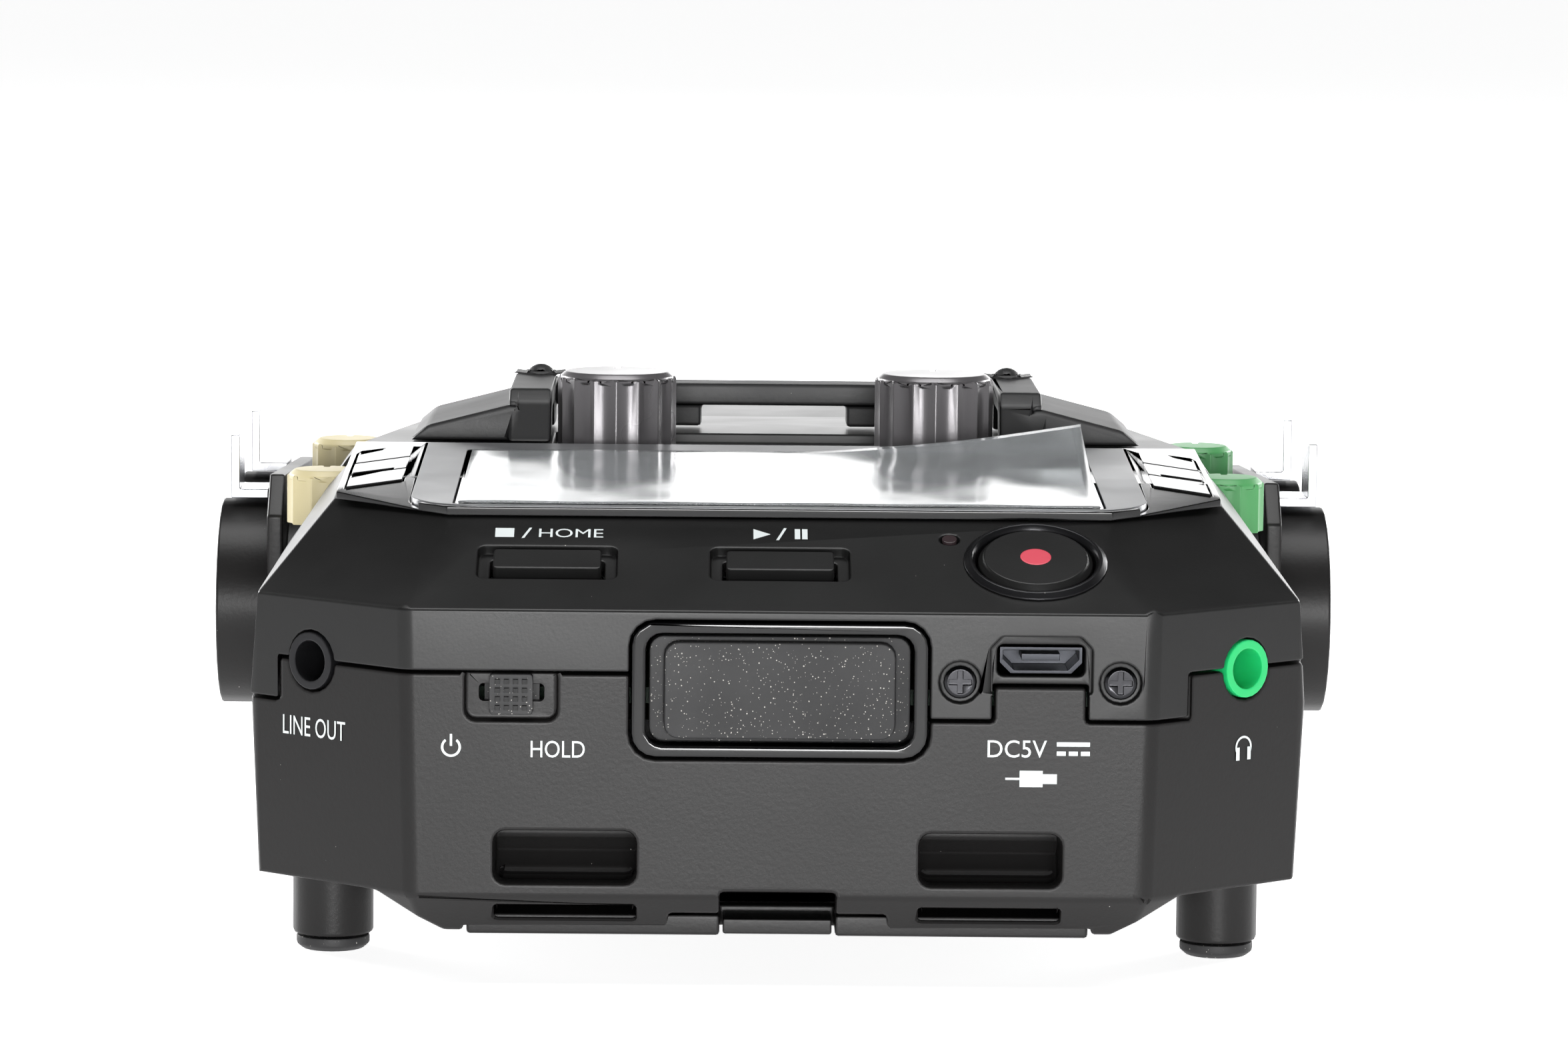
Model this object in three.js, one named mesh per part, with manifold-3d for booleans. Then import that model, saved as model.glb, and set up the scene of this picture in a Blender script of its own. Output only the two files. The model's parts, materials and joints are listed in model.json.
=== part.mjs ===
// A handheld multitrack audio recorder: two clamshell casings round a battery tray and a main board, with a
// sloping transport panel, a raised screen plate, side microphone inputs and a knob deck under a guard bar.
// Millimetres, +Z up. The user's end faces -Y. The feet stand on Z = 0 under the middle of the object.
import * as THREE from 'three';
import { ConvexGeometry } from 'three/addons/geometries/ConvexGeometry.js';
import { mergeVertices } from 'three/addons/utils/BufferGeometryUtils.js';
import Module from 'manifold-3d';

const wasm = await Module();
wasm.setup();

// Driving dimensions. Y is counted from the front face here, and the whole object is centred at the end.
const bodyLength = 163;
const wall = 2.2;
const seam = 0.25;
const fit = 0.3;

const plateHeight = 4.8;
const bevelHeight = 8.5;
const keelHeight = 25.2;
const partingHeight = 29.2;
const browHeight = 34.8;
const bevelRun = 3;
const bay = { half: 30.6, flare: 36.8 };

const bottomHalf = { front: 33.6, side: 48.2 };
const keelHalf = { front: 33.9, side: 49 };
const browHalf = { front: 34.2, side: 48.3 };
const deckHalf = { front: 31, side: 42.1 };

const facetAngle = THREE.MathUtils.degToRad(40);
const facetRun = Math.tan(facetAngle);
const panelAngle = THREE.MathUtils.degToRad(24.8);
const deckAngle = THREE.MathUtils.degToRad(3);
const deckFront = 14.7;
const deckHeight = browHeight + deckFront * Math.tan(panelAngle);
const deckKink = 60;
const ridgeHeight = deckHeight + (deckKink - deckFront) * Math.tan(deckAngle);
const waistStart = 116;
const headStart = 140;
const headHalf = 34;
const headTop = 39.6;
const knobDeck = { half: 37, rear: 84 };
const tail = { half: 36, top: 42, side: 40, sideTop: 38.6 };

const feet = { half: 41.8, front: 20.5, rear: 108, bossRadius: 3.8, rubberRadius: 3.45, bossFoot: 1.5 };
const keySize = { width: 9.9, depth: 3.3, height: 5, proud: 0.4, travel: 0.6 };
const keyRecess = { width: 12.8, depth: 5.7, sink: 1 };
const keyPlace = { stop: -21.4, play: 0, along: 8.4 };
const recPlace = { x: 23.5, along: 8.9 };
const recRadius = { ring: 6.65, well: 5.55, cap: 5.3, top: 4.75 };
const lampPlace = { x: 15.7, along: 13 };
const bezelThickness = 0.8;
const bezelRear = 40.6;
const frameHalf = 34.6;
const glassSize = { half: 30.3, front: 1.5, rear: 35.5, thickness: 1.1 };
const trackKeys = { inner: 35.9, outer: 41, start: 10.4, pitch: 7.4, count: 3, gap: 0.5, slant: 5.1 };
const jackPlace = { x: 43, z: 29, bore: 1.85, ring: 2.7 };
const remoteCentre = 27.6;
const usbPlace = { x: 23.75, z: 30.5 };
const portScrews = { xs: [16.4, 31], z: 28.5, head: 1.52, bore: 1.93 };
const holdPlace = { x: -24.4, z: 27.1 };
const strapSlots = { xs: [-19.45, 19.35], z: 12.1, width: 13, height: 4.9, depth: 6.4, bend: 1.1 };
const xlr = { height: 26.9, rows: [70, 97], radius: 10.5, bore: 8.9, plate: 50.9, face: 56.2 };
const sideKnobs = { rows: [{ x: 44.6, y: 51 }, { x: 44.3, y: 83.5 }], radius: 3.8, bottom: 37, top: 42.4 };
const inputKnobs = { x: 16, y: 64, radius: 6, bottom: 43.5, top: 51.3 };
const cell = { radius: 7, length: 50.2, pitch: 14.3, height: 14.6, front: 12.2 };
const door = { half: 28.5, front: 2.9, rear: 66, bottom: 4.5, top: 6.4 };
const latch = { half: 5, front: 3.2, rear: 8, bottom: 4.6, top: 6 };
const card = { front: 26, rear: 48, low: 11, high: 22.5 };
const tripod = { y: 92, radius: 4.7, bore: 3 };
const capsule = { width: 36, height: 22, z: 26, depth: 14 };
const guard = { inner: 22.6, outer: 26.9, front: 60.6, rear: 84, top: 49.4 };
const crossBar = { front: 79.6, low: 46.5, high: 48.7 };

const finish = {
  casing: { color: 0x2b2b2c, roughness: 0.45, metalness: 0 },
  panel: { color: 0x1d1d1e, roughness: 0.35, metalness: 0 },
  gloss: { color: 0x141416, roughness: 0.12, metalness: 0 },
  silver: { color: 0x8a8b8d, roughness: 0.3, metalness: 0.4 },
  glass: { color: 0x0a0b0d, roughness: 0.04, metalness: 0 },
  rubber: { color: 0x222223, roughness: 0.8, metalness: 0 },
  steel: { color: 0xb6b7ba, roughness: 0.25, metalness: 1 },
  blackSteel: { color: 0x2a2a2c, roughness: 0.35, metalness: 0.9 },
  cream: { color: 0xd8cfae, roughness: 0.5, metalness: 0 },
  green: { color: 0x3fb96a, roughness: 0.45, metalness: 0 },
  jackGreen: { color: 0x28be6e, roughness: 0.4, metalness: 0 },
  board: { color: 0x1f5a36, roughness: 0.5, metalness: 0 },
  inside: { color: 0x3a3b3d, roughness: 0.6, metalness: 0 },
  lamp: { color: 0x55393a, roughness: 0.2, metalness: 0 },
  brass: { color: 0xb9974f, roughness: 0.3, metalness: 1 },
  cellWrap: { color: 0x4a4f58, roughness: 0.35, metalness: 0.3 },
};

const recorder = new THREE.Group();

// Shape tools ------------------------------------------------------------------------------------------

// A closed geometry as a solid that can be joined and cut.
function solid(geometry) {
  const bare = geometry.clone();
  bare.deleteAttribute('normal');
  bare.deleteAttribute('uv');
  const merged = mergeVertices(bare);
  const triVerts = Uint32Array.from(merged.index.array);
  const vertProperties = merged.attributes.position.array;
  return new wasm.Manifold(new wasm.Mesh({ numProp: 3, vertProperties, triVerts }));
}

function geometryOf(body) {
  const { vertProperties, triVerts } = body.getMesh();
  const geometry = new THREE.BufferGeometry();
  geometry.setAttribute('position', new THREE.BufferAttribute(vertProperties, 3));
  geometry.setIndex(new THREE.BufferAttribute(triVerts, 1));
  geometry.computeVertexNormals();
  return geometry;
}

function cut(body, ...tools) {
  return tools.reduce((left, tool) => left.subtract(tool), body);
}

function join(body, ...others) {
  return others.reduce((left, other) => left.add(other), body);
}

function addPart(name, body, look, parent = recorder) {
  const geometry = body.isBufferGeometry ? body : geometryOf(body);
  const mesh = new THREE.Mesh(geometry, new THREE.MeshStandardMaterial(look));
  mesh.name = name;
  parent.add(mesh);
  return mesh;
}

// A block between two opposite corners.
function block(x0, x1, y0, y1, z0, z1) {
  const box = new THREE.BoxGeometry(x1 - x0, y1 - y0, z1 - z0);
  return box.translate((x0 + x1) / 2, (y0 + y1) / 2, (z0 + z1) / 2);
}

// A turned piece about +Z from [radius, height] corners, from the axis back to the axis.
function turned(corners, sides = 20) {
  const points = corners.map(([radius, height]) => new THREE.Vector2(radius, height));
  return new THREE.LatheGeometry(points, sides).rotateX(Math.PI / 2);
}

function disc(radius, z0, z1, sides = 20) {
  return turned([[0, z0], [radius, z0], [radius, z1], [0, z1]], sides);
}

function outline(points) {
  return new THREE.Shape(points.map(([x, y]) => new THREE.Vector2(x, y)));
}

function roundedRect(width, height, radius, x = 0, y = 0) {
  const right = x + width / 2 - radius;
  const left = x - width / 2 + radius;
  const high = y + height / 2 - radius;
  const low = y - height / 2 + radius;
  const shape = new THREE.Shape();
  shape.absarc(right, high, radius, 0, Math.PI / 2);
  shape.absarc(left, high, radius, Math.PI / 2, Math.PI);
  shape.absarc(left, low, radius, Math.PI, 1.5 * Math.PI);
  shape.absarc(right, low, radius, 1.5 * Math.PI, 2 * Math.PI);
  shape.closePath();
  return shape;
}

// Extrusions of an outline along Z, along Y (outline in X and Z) and along X (outline in Y and Z).
function alongZ(shape, z0, z1, curveSegments = 2) {
  const settings = { depth: z1 - z0, bevelEnabled: false, curveSegments };
  return new THREE.ExtrudeGeometry(shape, settings).translate(0, 0, z0);
}

function alongY(shape, y0, y1, curveSegments = 2) {
  return alongZ(shape, 0, y1 - y0, curveSegments).rotateX(Math.PI / 2).translate(0, y1, 0);
}

function alongX(shape, x0, x1, curveSegments = 2) {
  const upright = alongZ(shape, 0, x1 - x0, curveSegments).rotateX(Math.PI / 2);
  return upright.rotateZ(Math.PI / 2).translate(x0, 0, 0);
}

// Frames of reference ----------------------------------------------------------------------------------

function frameAt(x, y, z, turnX = 0, turnZ = 0, parent = recorder) {
  const frame = new THREE.Group();
  frame.position.set(x, y, z);
  frame.rotation.set(turnX, 0, turnZ);
  frame.updateMatrix();
  parent.add(frame);
  return frame;
}

// The transport panel, with Y up its slope, the screen deck, and the two corner facets with -Y outwards.
const panel = frameAt(0, 0, browHeight, panelAngle);
const deck = frameAt(0, deckFront, deckHeight, deckAngle);
const facetY = (jackPlace.x - keelHalf.front) * facetRun;
const facets = [-1, 1].map((side) => frameAt(side * jackPlace.x, facetY, jackPlace.z, 0, side * facetAngle));

function within(frame, geometry) {
  return geometry.clone().applyMatrix4(frame.matrix);
}

// Casings ----------------------------------------------------------------------------------------------

// The corner where the side facet of the panel meets the deck, so that both stay flat.
function deckCorner(inset) {
  const acrossX = browHalf.side - browHalf.front;
  const acrossY = acrossX * facetRun;
  const upX = deckHalf.front - browHalf.front;
  const rise = deckHeight - browHeight;
  const normal = new THREE.Vector3(acrossX, acrossY, 0).cross(new THREE.Vector3(upX, deckFront, rise));
  const x = deckHalf.side - inset;
  const tilt = Math.tan(deckAngle);
  const level = normal.x * (x - browHalf.front) + normal.z * (rise - deckFront * tilt);
  const y = level / -(normal.y + normal.z * tilt);
  return new THREE.Vector3(x, y, deckHeight + (y - deckFront) * tilt - inset);
}

// The outside of the casing, or the space inside it when it is inset by the wall.
function bodyHull(inset) {
  const corners = [];
  const edge = (front, side, y0, z, rearHalf) => {
    const half = front - 0.4 * inset;
    const sideHalf = side - inset;
    corners.push([half, y0, z]);
    corners.push([sideHalf, y0 + (sideHalf - half) * facetRun, z]);
    corners.push([sideHalf, waistStart, z]);
    corners.push([rearHalf - inset, headStart, z]);
  };
  const bevelIn = bevelRun * 0.4;
  const plateSide = bottomHalf.side - bevelRun;
  edge(bottomHalf.front - bevelIn, plateSide, bevelRun + inset, plateHeight + inset, headHalf - 3);
  edge(bottomHalf.front, bottomHalf.side, inset, bevelHeight + 0.6 * inset, headHalf);
  edge(keelHalf.front, keelHalf.side, inset, keelHeight, headHalf);
  edge(browHalf.front, browHalf.side, inset, browHeight - 0.5 * inset, headHalf);
  const corner = deckCorner(inset);
  corners.push([deckHalf.front - 0.4 * inset, deckFront + 0.3 * inset, deckHeight - inset]);
  corners.push([corner.x, corner.y, corner.z]);
  corners.push([corner.x, deckKink, ridgeHeight - inset]);
  corners.push([knobDeck.half - inset, knobDeck.rear, ridgeHeight - inset]);
  corners.push([tail.half - inset, waistStart, tail.top - inset]);
  corners.push([tail.side - inset, waistStart, tail.sideTop - inset]);
  corners.push([headHalf - 5 - inset, headStart, headTop - inset]);
  const points = corners.flatMap(([x, y, z]) => [new THREE.Vector3(x, y, z), new THREE.Vector3(-x, y, z)]);
  return solid(new ConvexGeometry(points));
}

// What is missing under each side: the battery bay hangs below the raised flats that the feet stand on.
function underSides(inset) {
  const slope = Math.atan2(bevelHeight - plateHeight, bay.flare - bay.half);
  const shift = inset * Math.tan(slope / 2);
  const low = plateHeight + inset;
  const high = bevelHeight + inset;
  const foot = bay.half - shift - (low + 2) / Math.tan(slope);
  return [-1, 1].map((side) => {
    const corners = [[foot, -2], [70, -2], [70, high], [bay.flare - shift, high]];
    return solid(alongY(outline(corners.map(([x, z]) => [side * x, z])), -5, bodyLength + 5));
  });
}

// The narrower head that carries the microphone socket.
function headHull(inset) {
  const half = headHalf - inset;
  const low = bevelHeight - 1 + inset;
  const high = headTop - 0.4 - inset;
  const section = outline([
    [-half, low + 4], [-half + 4, low], [half - 4, low], [half, low + 4],
    [half, high - 8], [half - 6, high], [-half + 6, high], [-half, high - 8],
  ]);
  return solid(alongY(section, headStart - 8, bodyLength - inset));
}

// The region that belongs to the upper casing, grown by a margin. It reaches down round the port screws,
// and follows the keel along both sides.
function upperRegion(margin) {
  const top = block(-60, 60, -5, bodyLength + 5, partingHeight - margin, 60);
  const low = 25.1 - margin;
  const apron = outline([
    [13.3, low], [19.3 + margin, low], [19.3 + margin, 28.3 - margin], [28.1 - margin, 28.3 - margin],
    [28.1 - margin, low], [37.4 + margin, low], [37.4 + margin, 31], [13.3, 31],
  ]);
  const keelTop = keelHeight - margin;
  const left = block(-60, -46.3 + margin, -5, waistStart, keelTop, 31);
  const right = block(46.3 - margin, 60, 14.5 - margin, waistStart, keelTop, 31);
  return join(solid(top), solid(alongY(apron, -2, wall + 1)), solid(left), solid(right));
}

// Cutters that pass through both casings: the remote socket, the two jacks and the microphone inputs.
function sharedCuts() {
  const remote = solid(alongY(roundedRect(27.4, 12.8, 2.4, 0, remoteCentre), -2, 4));
  const jackBore = disc(jackPlace.ring + 0.15, -6, 4).rotateX(Math.PI / 2);
  const jacks = facets.map((facet) => solid(within(facet, jackBore)));
  const inputs = [-1, 1].flatMap((side) => xlr.rows.map((y) => {
    const bore = disc(9.6, 40, 60).rotateY(side * Math.PI / 2);
    return solid(bore.translate(0, y, xlr.height));
  }));
  const mouth = roundedRect(capsule.width, capsule.height, 3, 0, capsule.z);
  const socket = solid(alongY(mouth, bodyLength - capsule.depth, bodyLength + 1));
  return [remote, ...jacks, ...inputs, socket];
}

// A strap slot runs in through the front face and out through the bevel beneath it, round a bar.
function strapPocket(x) {
  const { width, height, depth, z, bend } = strapSlots;
  const side = width / 2 + 1.5;
  const lining = block(x - side, x + side, 1.2, depth + 1.5, bevelHeight - 1, z + height / 2 + 1.5);
  const entry = alongY(roundedRect(width, height, bend, x, z), -2, depth);
  const exitSection = outline([[-1, -1.05], [9, -1.05], [9, 1.05], [-1, 1.05]]);
  const exit = alongX(exitSection, x - width / 2, x + width / 2);
  exit.rotateX(Math.PI / 4).translate(0, 0.75, 5.95);
  return { lining: solid(lining), entry: solid(entry), exit: solid(exit) };
}

function footPlaces() {
  return [-1, 1].flatMap((side) => [feet.front, feet.rear].map((y) => ({ x: side * feet.half, y })));
}

function lowerShell(outside, inside) {
  const pockets = strapSlots.xs.map(strapPocket);
  const bosses = footPlaces().map(({ x, y }) => (
    solid(disc(feet.bossRadius, feet.bossFoot, bevelHeight + 1).translate(x, y, 0))
  ));
  const tripodBoss = solid(disc(tripod.radius + 2, 6, 11).translate(0, tripod.y, 0));
  const linings = pockets.map((pocket) => pocket.lining);
  const body = join(cut(outside, inside, upperRegion(seam)), ...linings, ...bosses, tripodBoss);
  const doorHalf = door.half + fit;
  const doorway = block(-doorHalf, doorHalf, door.front - fit, door.rear + fit, 2, plateHeight + wall + 0.1);
  const holdRecess = alongY(roundedRect(8.4, 4.9, 1, holdPlace.x, holdPlace.z), -2, 1.2);
  const holdSlot = alongY(roundedRect(5.9, 1.6, 0.4, holdPlace.x, holdPlace.z), 0, wall + 1);
  const footBores = footPlaces().map(({ x, y }) => solid(disc(2.2, 0, 5, 12).translate(x, y, 0)));
  const tripodBore = disc(tripod.radius + 0.2, 0, 12).translate(0, tripod.y, 0);
  const cardRecess = block(-52, -47.5, card.front, card.rear, card.low, card.high);
  const cardSlot = block(-50, -40, card.front + 3, card.rear - 3, 15.4, 18.2);
  const latchRecess = block(-latch.half - 5, latch.half + 5, -2, 3, 2, 6.8);
  const latchHole = block(-latch.half - fit, latch.half + fit, -2, latch.rear + fit, 2, 9);
  return cut(
    body, ...pockets.flatMap(({ entry, exit }) => [entry, exit]), ...footBores,
    ...[doorway, holdRecess, holdSlot, tripodBore, cardRecess, cardSlot, latchRecess, latchHole].map(solid),
    ...sharedCuts(),
  );
}

// Steps round the charging port and the sunk heads of the two port screws.
function portCuts() {
  const { x, z } = usbPlace;
  const step = outline([
    [x - 4.65, 27.5], [x + 4.65, 27.5], [x + 4.65, z + 1.1], [x + 3.6, z + 2.2],
    [x - 3.6, z + 2.2], [x - 4.65, z + 1.1],
  ]);
  const mouth = roundedRect(8, 2.9, 0.6, x, z);
  const screws = portScrews.xs.flatMap((screwX) => {
    const sink = disc(portScrews.bore, -0.9, 2);
    const hole = disc(1.1, -6, 0, 12);
    return [sink, hole].map((tool) => solid(tool.rotateX(Math.PI / 2).translate(screwX, 0, portScrews.z)));
  });
  return [solid(alongY(step, -2, 0.6)), solid(alongY(mouth, -2, 5)), ...screws];
}

function panelCuts() {
  const keys = [keyPlace.stop, keyPlace.play].flatMap((x) => {
    const { width, depth, sink } = keyRecess;
    const dish = alongZ(roundedRect(width, depth, 0.8, x, keyPlace.along), -sink, 2);
    const hole = alongZ(roundedRect(keySize.width + 0.6, keySize.depth + 0.6, 0.5, x, keyPlace.along), -8, 2);
    return [dish, hole];
  });
  const well = disc(recRadius.ring - 0.6, -8, 2, 28).translate(recPlace.x, recPlace.along, 0);
  const lamp = disc(0.95, -8, 2, 12).translate(lampPlace.x, lampPlace.along, 0);
  return [...keys, well, lamp].map((tool) => solid(within(panel, tool)));
}

// A slanted outline beside the screen that runs over a few keys, grown by a margin. Keys count away from -Y.
function trackKeyOutline(side, first, last, margin) {
  const { inner, outer, start, pitch, gap, slant } = trackKeys;
  const low = start + first * pitch + gap / 2 - margin;
  const high = start + last * pitch + pitch - gap / 2 + margin;
  const points = [
    [outer + margin, low], [outer + margin, high],
    [inner - margin, high + slant], [inner - margin, low + slant],
  ];
  const ordered = side > 0 ? points : points.reverse();
  return outline(ordered.map(([x, y]) => [side * x, y]));
}

// The openings under the keys on each side of the screen.
function trackKeyWells() {
  return [-1, 1].flatMap((side) => [
    solid(within(deck, alongZ(trackKeyOutline(side, 0, trackKeys.count - 1, 0.3), -8, 2))),
    solid(within(deck, fingerSlot(side, trackKeys.count, -3))),
  ]);
}

// A wedge-shaped slot at the border behind one track key, for a fingertip to find the keys by.
function fingerSlot(side, border, bottom) {
  const { inner, outer, start, pitch } = trackKeys;
  const y = start + border * pitch;
  const points = [
    [outer - 0.2, y - 1.5], [outer - 0.2, y + 1.6], [inner + 1.2, y + 5.1], [inner + 1.2, y + 4.3],
  ];
  const ordered = side > 0 ? points : points.reverse();
  return alongZ(outline(ordered.map(([x, slotY]) => [side * x, slotY])), bottom, 4);
}

function fingerSlots(side) {
  return [1, trackKeys.count].map((border) => solid(fingerSlot(side, border, -3)));
}

// The open shelf under one track knob, and the hole for its shaft.
function knobShelf(side, { x, y }) {
  const floor = sideKnobs.bottom - 0.5;
  const reach = sideKnobs.radius + 0.8;
  const well = disc(reach, floor, 60, 24).translate(side * x, y, 0);
  const mouth = block(0, 10, y - reach, y + reach, floor, 60).translate(side > 0 ? x : -x - 10, 0, 0);
  const shaftHole = disc(1.8, 30, 60, 12).translate(side * x, y, 0);
  return [well, mouth, shaftHole].map(solid);
}

function upperShell(outside, inside) {
  const body = cut(outside.intersect(upperRegion(0)), inside);
  const window = within(deck, block(-31.2, 31.2, 0.9, 37, -8, 4));
  const knobWell = block(-22.4, 22.4, deckFront + bezelRear + fit, 75, 42.9, 60);
  const shafts = [-1, 1].map((side) => disc(3.4, 30, 60, 16).translate(side * inputKnobs.x, inputKnobs.y, 0));
  const shelves = [-1, 1].flatMap((side) => sideKnobs.rows.flatMap((row) => knobShelf(side, row)));
  return cut(
    body, solid(window), solid(knobWell), ...shafts.map(solid), ...shelves,
    ...trackKeyWells(), ...panelCuts(), ...portCuts(), ...sharedCuts(),
  );
}

function buildCasings() {
  const outside = join(cut(bodyHull(0), ...underSides(0)), headHull(0));
  const inside = join(cut(bodyHull(wall), ...underSides(wall)), headHull(wall));
  addPart('lower_shell', lowerShell(outside, inside), finish.casing);
  addPart('upper_shell', upperShell(outside, inside), finish.panel);
}

// Screen -----------------------------------------------------------------------------------------------

const bezelTop = bezelThickness + 0.2;
const bezelSide = deckHalf.side - 0.3;
const bezelCorner = (bezelSide - deckHalf.front) * facetRun;

// The front corners of the plate fall gently towards the user.
function cornerFall(side) {
  const fall = 0.62;
  const foldRun = 13;
  const fold = { x: bezelSide + 1, y: bezelCorner + 1.2 };
  const inner = { x: fold.x - foldRun, y: fold.y + foldRun };
  const low = { x: (fold.x + inner.x) / 2 - 8.5, y: (fold.y + inner.y) / 2 - 8.5 };
  const points = [
    [fold.x, fold.y, bezelTop], [inner.x, inner.y, bezelTop], [fold.x, fold.y, 5], [inner.x, inner.y, 5],
    [low.x + foldRun, low.y - foldRun, bezelTop - fall], [low.x - 2, low.y + 2, bezelTop - fall],
    [low.x + foldRun, low.y - foldRun, 5], [low.x - 2, low.y + 2, 5],
  ];
  return solid(new ConvexGeometry(points.map(([x, y, z]) => new THREE.Vector3(side * x, y, z))));
}

function screenFrameOutline(margin) {
  const half = frameHalf + margin;
  const front = 0.55 - margin;
  const rear = bezelRear - 0.6 + margin;
  const bend = 6 + margin;
  const shape = new THREE.Shape();
  shape.moveTo(half, rear);
  shape.lineTo(-half, rear);
  shape.absarc(-half + bend, front + bend, bend, Math.PI, 1.5 * Math.PI);
  shape.absarc(half - bend, front + bend, bend, 1.5 * Math.PI, 2 * Math.PI);
  shape.closePath();
  return shape;
}

function glassOutline(margin) {
  const { half, front, rear } = glassSize;
  return roundedRect(2 * (half + margin), rear - front + 2 * margin, 0.9, 0, (front + rear) / 2);
}

function buildScreen() {
  const rim = outline([
    [-deckHalf.front, 0], [deckHalf.front, 0], [bezelSide, bezelCorner], [bezelSide, bezelRear],
    [-bezelSide, bezelRear], [-bezelSide, bezelCorner],
  ]);
  const keyHoles = [-1, 1].flatMap((side) => [0, 1, 2].map((index) => (
    solid(alongZ(trackKeyOutline(side, index, index, 0.14), -2, 3))
  )));
  const slots = [-1, 1].flatMap(fingerSlots);
  const plate = cut(
    solid(alongZ(rim, 0.2, bezelTop)), solid(alongZ(screenFrameOutline(0.15), -2, 3, 4)), ...keyHoles,
    ...slots, cornerFall(-1), cornerFall(1),
  );
  addPart('screen_bezel', plate, finish.gloss, deck);
  const frameBlank = alongZ(screenFrameOutline(0), 0.25, bezelTop + 0.08, 4);
  const frame = cut(solid(frameBlank), solid(alongZ(glassOutline(0.2), -2, 3)));
  addPart('screen_frame', frame, finish.silver, deck);
  const glass = alongZ(glassOutline(0), bezelTop - glassSize.thickness, bezelTop);
  addPart('screen_glass', solid(glass), finish.glass, deck);
  const module = block(-29.5, 29.5, 2.2, 35, -5, -0.4);
  addPart('lcd_module', solid(module), finish.inside, deck);
  [-1, 1].forEach((side) => [0, 1, 2].forEach((index) => {
    const cap = solid(alongZ(trackKeyOutline(side, index, index, 0), -2.4, bezelTop + 0.12));
    const name = `track_key_${side < 0 ? 'left' : 'right'}_${index + 1}`;
    addPart(name, cut(cap, ...fingerSlots(side)), finish.gloss, deck);
  }));
}

// Transport panel --------------------------------------------------------------------------------------

function buildPanelKeys() {
  const { width, depth, height, proud } = keySize;
  Object.entries({ stop_key: keyPlace.stop, play_key: keyPlace.play }).forEach(([name, x]) => {
    const cap = alongZ(roundedRect(width, depth, 0.4, x, keyPlace.along), proud - height, proud);
    const skirt = roundedRect(width + 1.6, depth + 1.6, 0.4, x, keyPlace.along);
    const flange = alongZ(skirt, proud - height, -3.6);
    addPart(name, join(solid(cap), solid(flange)), finish.panel, panel);
  });
  const { ring, well, cap, top } = recRadius;
  const ringSection = [
    [well, -2.4], [ring - 0.75, -2.4], [ring - 0.75, 0.04], [ring, 0.04], [ring, 0.22], [ring - 0.5, 0.62],
    [ring - 0.75, 0.62], [well, 0.15], [well, -2.4],
  ];
  const place = (geometry, x, along) => solid(geometry.translate(x, along, 0));
  addPart('rec_ring', place(turned(ringSection, 36), recPlace.x, recPlace.along), finish.blackSteel, panel);
  const capSection = [[0, -4.4], [cap, -4.4], [cap, 0.1], [top, 0.68], [0, 0.68]];
  addPart('rec_key', place(turned(capSection, 36), recPlace.x, recPlace.along), finish.panel, panel);
  addPart('status_lamp', place(disc(0.7, -3, 0.08, 16), lampPlace.x, lampPlace.along), finish.lamp, panel);
}

// Front face -------------------------------------------------------------------------------------------

function buildHoldSwitch() {
  const { x, z } = holdPlace;
  const cap = alongY(roundedRect(3.9, 3.7, 0.3, x, z), -0.35, 0.9);
  const stem = alongY(roundedRect(1.4, 1, 0.2, x, z), 0.5, 3.4);
  const slide = alongY(roundedRect(5, 3.4, 0.3, x, z), 2.6, 3.8);
  addPart('hold_switch', join(solid(cap), solid(stem), solid(slide)), finish.rubber);
}

function buildRemotePort() {
  const z = remoteCentre;
  const opening = roundedRect(24.4, 10.3, 1.5, 0, z);
  const frameBlank = alongY(roundedRect(27, 12.4, 2.2, 0, z), 0.02, 3.2);
  const frame = cut(solid(frameBlank), solid(alongY(opening, -1, 4)));
  addPart('remote_frame', frame, finish.gloss);
  const flange = solid(alongY(roundedRect(23.8, 9.7, 1.3, 0, z), 1, 2.6));
  const pad = solid(alongY(roundedRect(21, 8.8, 1.3, 0, z), -0.35, 1.5));
  const plug = solid(alongY(roundedRect(15.6, 4.6, 0.8, 0, z), 2, 6));
  addPart('remote_cover', join(flange, pad, plug), finish.rubber);
  const body = solid(alongY(roundedRect(18.6, 7.4, 0.6, 0, z), 3.6, 12));
  const mouth = solid(alongY(roundedRect(16.4, 5.4, 0.8, 0, z), 3, 9));
  const tongue = solid(block(-6, 6, 6.8, 10, z - 0.7, z + 0.7));
  addPart('remote_socket', join(cut(body, mouth), tongue), finish.inside);
}

function buildChargingPort() {
  const { x, z } = usbPlace;
  const shellOutline = (margin) => {
    const half = 3.75 - margin;
    const high = z + 1.22 - margin;
    const low = z - 1.22 + margin;
    return outline([
      [x - half + 1, low], [x + half - 1, low], [x + half, low + 1], [x + half, high],
      [x - half, high], [x - half, low + 1],
    ]);
  };
  const can = cut(solid(alongY(shellOutline(0), 0.75, 6.6)), solid(alongY(shellOutline(0.3), 0, 5.6)));
  const tongue = solid(block(x - 1.75, x + 1.75, 1.5, 6, z - 0.1, z + 0.5));
  addPart('usb_receptacle', join(can, tongue), finish.steel);
  portScrews.xs.forEach((screwX, index) => {
    const { head: radius } = portScrews;
    const head = turned([
      [0, -3.8], [0.9, -3.8], [0.9, -0.86], [radius, -0.86], [radius, -0.3], [1.2, -0.12], [0, -0.12],
    ]);
    const slots = [[0.26, 1.05], [1.05, 0.26]].map(([u, v]) => block(-u, u, -v, v, -0.6, 1));
    const screw = cut(solid(head), ...slots.map(solid));
    const mesh = addPart(`port_screw_${index + 1}`, screw, finish.blackSteel);
    mesh.rotation.x = Math.PI / 2;
    mesh.position.set(screwX, 0, portScrews.z);
  });
}

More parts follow.
